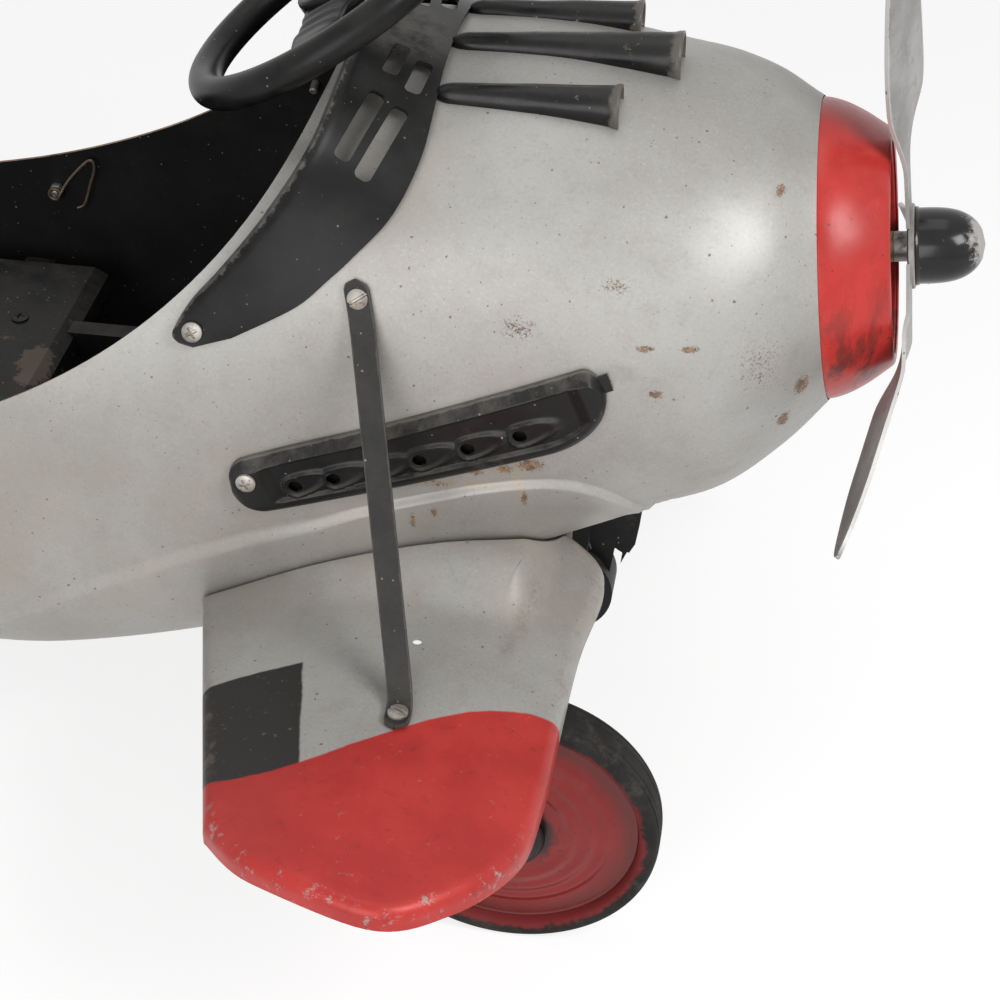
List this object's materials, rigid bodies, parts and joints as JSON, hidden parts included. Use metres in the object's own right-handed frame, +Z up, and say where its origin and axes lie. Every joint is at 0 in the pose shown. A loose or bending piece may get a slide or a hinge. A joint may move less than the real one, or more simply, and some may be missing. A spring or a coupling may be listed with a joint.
{
  "type": "pedal plane",
  "caption": "Child's pedal plane: pressed-steel fuselage with open cockpit, wings and propeller, pedal crank and chain to the front axle, tail wheel turned by the steering wheel.",
  "frame": {"origin": "on the floor under the middle of the overall box", "axes": "+X to the nose, +Y to the pilot's left, +Z up"},
  "size_m": [1.1499, 0.93, 0.6376],
  "materials": {
    "silver_paint": "worn silver paint",
    "red_paint": "worn gloss red paint",
    "black_paint": "worn black paint",
    "black_plastic": "moulded, scuffed",
    "tyre_rubber": "hard rubber with red overspray",
    "pedal_rubber": "moulded, grooved",
    "bare_steel": "dull, slightly rusty",
    "bronze": "sintered bearing bronze"
  },
  "bodies": {
    "airframe": {"fuselage_shell": "silver_paint", "nose_cowl": "red_paint", "nose_bulkhead": "black_paint", "prop_bush": "bronze", "windshield_frame": "black_plastic", "windshield_screws": "bare_steel", "gun_cover_left": "black_paint", "gun_cover_center": "black_paint", "gun_cover_right": "black_paint", "exhaust_plate_left": "black_paint", "exhaust_plate_right": "black_paint", "exhaust_screws": "bare_steel", "wing_left": "silver_paint", "wing_right": "silver_paint", "wing_strut_left": "black_paint", "wing_strut_right": "black_paint", "strut_bolts": "bare_steel", "seat_pan": "black_paint", "seat_back": "black_paint", "seat_bolts": "bare_steel", "frame_rail_left": "black_paint", "frame_rail_right": "black_paint", "frame_cross_members": "black_paint", "axle_hanger_left": "black_paint", "axle_hanger_right": "black_paint", "axle_bracket": "black_paint", "axle_bushes": "bronze", "chain_guard": "black_paint", "chain": "bare_steel", "crank_hangers": "black_paint", "column_bracket": "black_paint", "column_bush": "bronze", "rod_guide": "black_paint", "tail_fin": "red_paint", "tailplane": "red_paint", "tail_bearing": "bare_steel"},
    "propeller": {"propeller": "bare_steel", "spinner": "black_plastic", "prop_shaft": "bare_steel"},
    "drive_axle": {"main_axle": "bare_steel", "axle_sprocket": "bare_steel", "wheel_disc_right": "red_paint", "tyre_right": "tyre_rubber", "hub_cap_right": "black_paint"},
    "left_wheel": {"wheel_disc_left": "red_paint", "tyre_left": "tyre_rubber", "hub_cap_left": "black_paint"},
    "crank": {"crank_shaft": "bare_steel", "crank_sprocket": "bare_steel"},
    "pedal_left": {"pedal_left": "pedal_rubber"},
    "pedal_right": {"pedal_right": "pedal_rubber"},
    "steering": {"steering_wheel": "black_plastic", "steering_column": "bare_steel", "steering_arm": "bare_steel"},
    "drag_link": {"drag_link": "bare_steel"},
    "tail_fork": {"tail_fork": "bare_steel", "tail_tiller": "bare_steel", "tail_axle": "bare_steel"},
    "tail_wheel": {"tail_wheel_disc": "red_paint", "tail_tyre": "tyre_rubber"}
  },
  "joints": [
    {"name": "propeller_spin", "type": "hinge", "parent": "airframe", "child": "propeller", "pos_m": [0.472, 0, 0.411], "axis": [0.9914, 0, 0.1305], "continuous": true},
    {"name": "axle_spin", "type": "hinge", "parent": "airframe", "child": "drive_axle", "pos_m": [0.3, 0, 0.1016], "axis": [0, 1, 0], "continuous": true},
    {"name": "left_wheel_spin", "type": "hinge", "parent": "drive_axle", "child": "left_wheel", "pos_m": [0.3, 0, 0.1016], "axis": [0, 1, 0], "continuous": true},
    {"name": "crank_spin", "type": "hinge", "parent": "airframe", "child": "crank", "pos_m": [0.315, 0, 0.35], "axis": [0, 1, 0], "continuous": true},
    {"name": "pedal_left_spin", "type": "hinge", "parent": "crank", "child": "pedal_left", "pos_m": [0.375, 0, 0.35], "axis": [0, 1, 0], "continuous": true},
    {"name": "pedal_right_spin", "type": "hinge", "parent": "crank", "child": "pedal_right", "pos_m": [0.255, 0, 0.35], "axis": [0, 1, 0], "continuous": true},
    {"name": "steering_turn", "type": "hinge", "parent": "airframe", "child": "steering", "pos_m": [0.149, 0, 0.57], "axis": [0.5446, 0, -0.8387], "range_deg": [-30, 30]},
    {"name": "drag_link_slide", "type": "slide", "parent": "airframe", "child": "drag_link", "axis": [1, 0, 0], "range_m": [-0.031, 0.031]},
    {"name": "tail_fork_turn", "type": "hinge", "parent": "airframe", "child": "tail_fork", "pos_m": [-0.395, 0, 0.2], "axis": [0, 0, 1], "range_deg": [-30, 30]},
    {"name": "tail_wheel_spin", "type": "hinge", "parent": "tail_fork", "child": "tail_wheel", "pos_m": [-0.42, 0, 0.0625], "axis": [0, 1, 0], "continuous": true}
  ],
  "couplings": [
    {"joint": "crank_spin", "follows": "axle_spin", "ratio": 0.54545},
    {"joint": "pedal_left_spin", "follows": "axle_spin", "ratio": -0.54545},
    {"joint": "pedal_right_spin", "follows": "axle_spin", "ratio": -0.54545},
    {"joint": "drag_link_slide", "follows": "steering_turn", "m_per_rad": -0.058707},
    {"joint": "tail_fork_turn", "follows": "steering_turn", "ratio": 0.97845}
  ]
}
